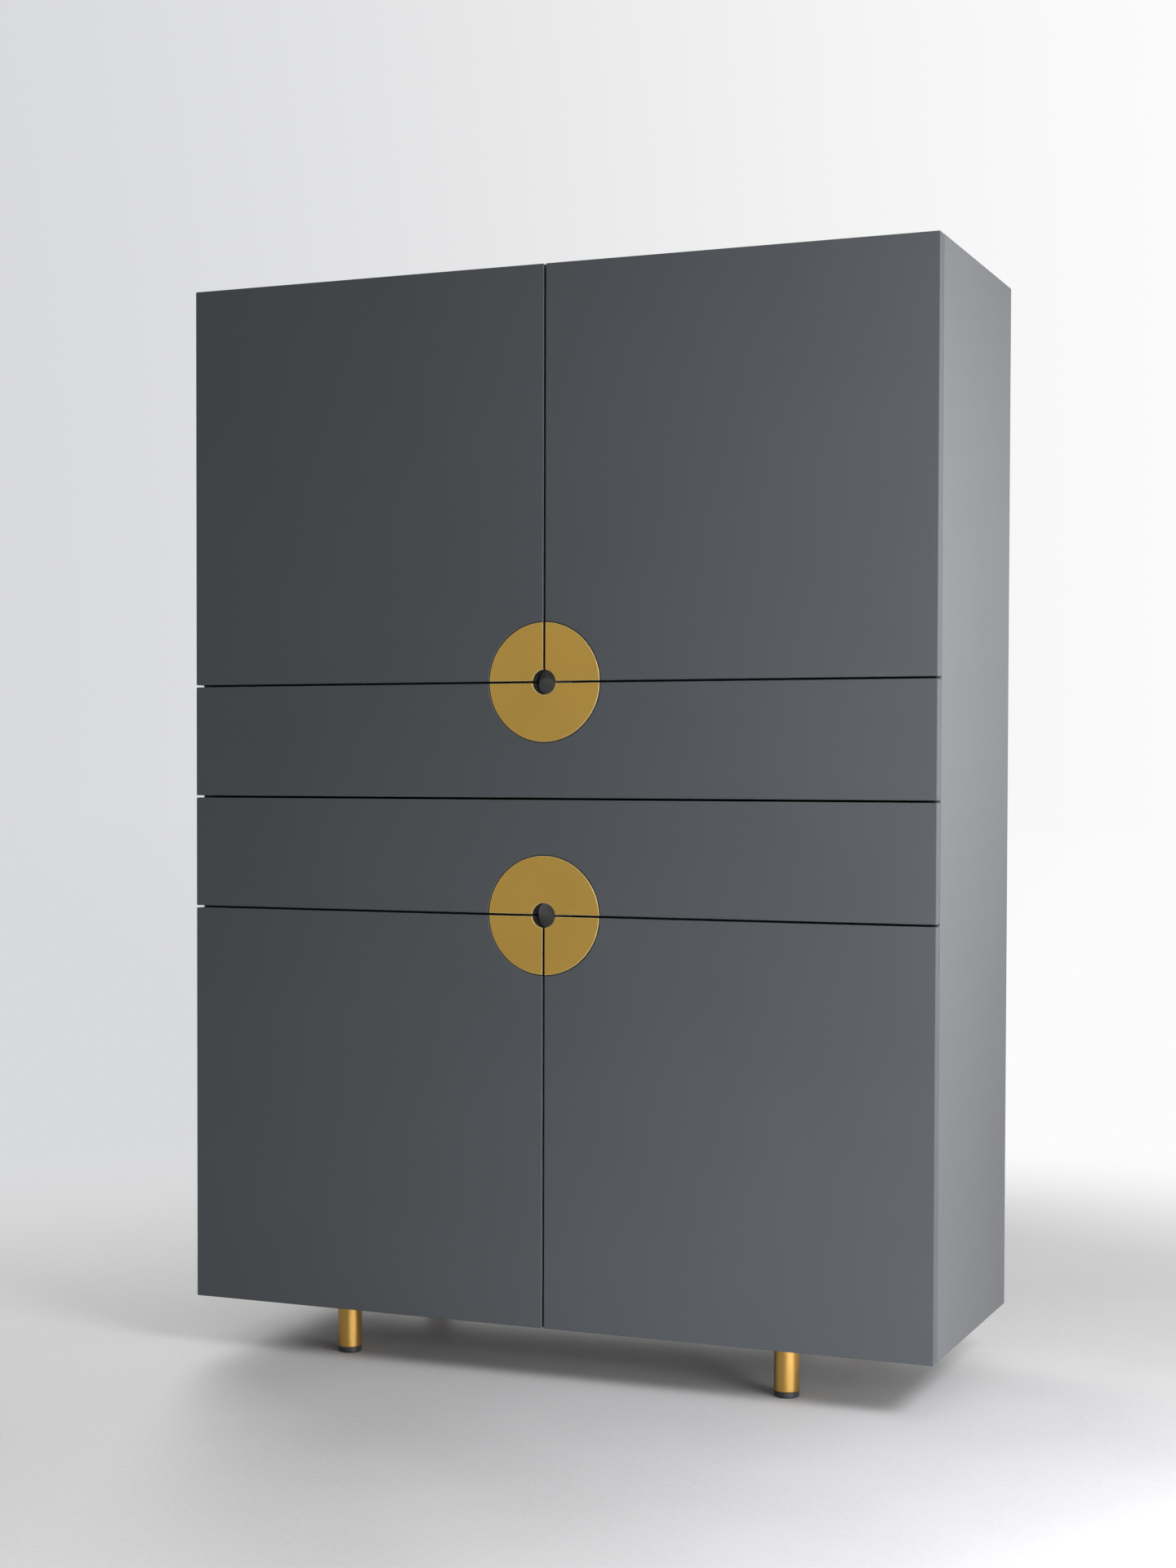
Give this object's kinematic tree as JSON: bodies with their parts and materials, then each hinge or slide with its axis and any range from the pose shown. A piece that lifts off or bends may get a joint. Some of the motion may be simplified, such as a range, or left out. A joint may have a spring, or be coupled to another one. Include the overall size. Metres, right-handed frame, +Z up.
{
  "type": "highboard cabinet",
  "caption": "Free-standing highboard with doors above and below full-width drawers, round brass finger-hole inlays across the joints and round brass legs.",
  "frame": {"origin": "on the floor under the middle of the body", "axes": "+X to the right of someone facing the doors, +Y to the back (the wall), +Z up; the fronts face -Y"},
  "size_m": [1.1, 0.412, 1.535],
  "materials": {
    "front_lacquer": "matt anthracite lacquer on fibreboard",
    "carcass_lacquer": "matt anthracite lacquer on fibreboard",
    "disc_brass": "satin brass with a fine orange-peel skin",
    "leg_brass": "satin brushed brass",
    "glide_plastic": "black moulded plastic",
    "finger_cup": "grey matt paint",
    "hinge_steel": "nickel-plated steel",
    "runner_wood": "waxed beech",
    "drawer_board": "grey melamine-faced board"
  },
  "bodies": {
    "root": {"side_panel_left": "carcass_lacquer", "side_panel_right": "carcass_lacquer", "top_panel": "carcass_lacquer", "bottom_panel": "carcass_lacquer", "back_panel": "carcass_lacquer", "upper_divider": "carcass_lacquer", "lower_divider": "carcass_lacquer", "upper_shelf": "carcass_lacquer", "lower_shelf": "carcass_lacquer", "leg_front_left": "leg_brass", "leg_front_right": "leg_brass", "leg_rear_left": "leg_brass", "leg_rear_right": "leg_brass", "glide_front_left": "glide_plastic", "glide_front_right": "glide_plastic", "glide_rear_left": "glide_plastic", "glide_rear_right": "glide_plastic", "finger_cup_upper": "finger_cup", "finger_cup_lower": "finger_cup", "runner_upper_left": "runner_wood", "runner_upper_right": "runner_wood", "runner_lower_left": "runner_wood", "runner_lower_right": "runner_wood", "hinge_arm_upper_left_bottom": "hinge_steel", "hinge_arm_upper_left_top": "hinge_steel", "hinge_arm_upper_right_bottom": "hinge_steel", "hinge_arm_upper_right_top": "hinge_steel", "hinge_arm_lower_left_bottom": "hinge_steel", "hinge_arm_lower_left_top": "hinge_steel", "hinge_arm_lower_right_bottom": "hinge_steel", "hinge_arm_lower_right_top": "hinge_steel"},
    "door_upper_left": {"door_upper_left": "front_lacquer", "disc_upper_left": "disc_brass", "hinge_cup_upper_left_bottom": "hinge_steel", "hinge_cup_upper_left_top": "hinge_steel"},
    "door_upper_right": {"door_upper_right": "front_lacquer", "disc_upper_right": "disc_brass", "hinge_cup_upper_right_bottom": "hinge_steel", "hinge_cup_upper_right_top": "hinge_steel"},
    "door_lower_left": {"door_lower_left": "front_lacquer", "disc_lower_left": "disc_brass", "hinge_cup_lower_left_bottom": "hinge_steel", "hinge_cup_lower_left_top": "hinge_steel"},
    "door_lower_right": {"door_lower_right": "front_lacquer", "disc_lower_right": "disc_brass", "hinge_cup_lower_right_bottom": "hinge_steel", "hinge_cup_lower_right_top": "hinge_steel"},
    "drawer_upper": {"drawer_front_upper": "front_lacquer", "disc_upper_drawer": "disc_brass", "drawer_side_upper_left": "drawer_board", "drawer_side_upper_right": "drawer_board", "drawer_back_upper": "drawer_board", "drawer_bottom_upper": "drawer_board"},
    "drawer_lower": {"drawer_front_lower": "front_lacquer", "disc_lower_drawer": "disc_brass", "drawer_side_lower_left": "drawer_board", "drawer_side_lower_right": "drawer_board", "drawer_back_lower": "drawer_board", "drawer_bottom_lower": "drawer_board"}
  },
  "joints": [
    {"name": "door_upper_left_hinge", "type": "hinge", "parent": "root", "child": "door_upper_left", "pos_m": [-0.544, -0.1966, 1.25075], "axis": [0, 0, -1], "range_deg": [0, 90]},
    {"name": "door_upper_right_hinge", "type": "hinge", "parent": "root", "child": "door_upper_right", "pos_m": [0.544, -0.1966, 1.25075], "axis": [0, 0, 1], "range_deg": [0, 90]},
    {"name": "door_lower_left_hinge", "type": "hinge", "parent": "root", "child": "door_lower_left", "pos_m": [-0.544, -0.1966, 0.35925], "axis": [0, 0, -1], "range_deg": [0, 90]},
    {"name": "door_lower_right_hinge", "type": "hinge", "parent": "root", "child": "door_lower_right", "pos_m": [0.544, -0.1966, 0.35925], "axis": [0, 0, 1], "range_deg": [0, 90]},
    {"name": "drawer_upper_slide", "type": "slide", "parent": "root", "child": "drawer_upper", "axis": [0, -1, 0], "range_m": [0, 0.3]},
    {"name": "drawer_lower_slide", "type": "slide", "parent": "root", "child": "drawer_lower", "axis": [0, -1, 0], "range_m": [0, 0.3]}
  ]
}
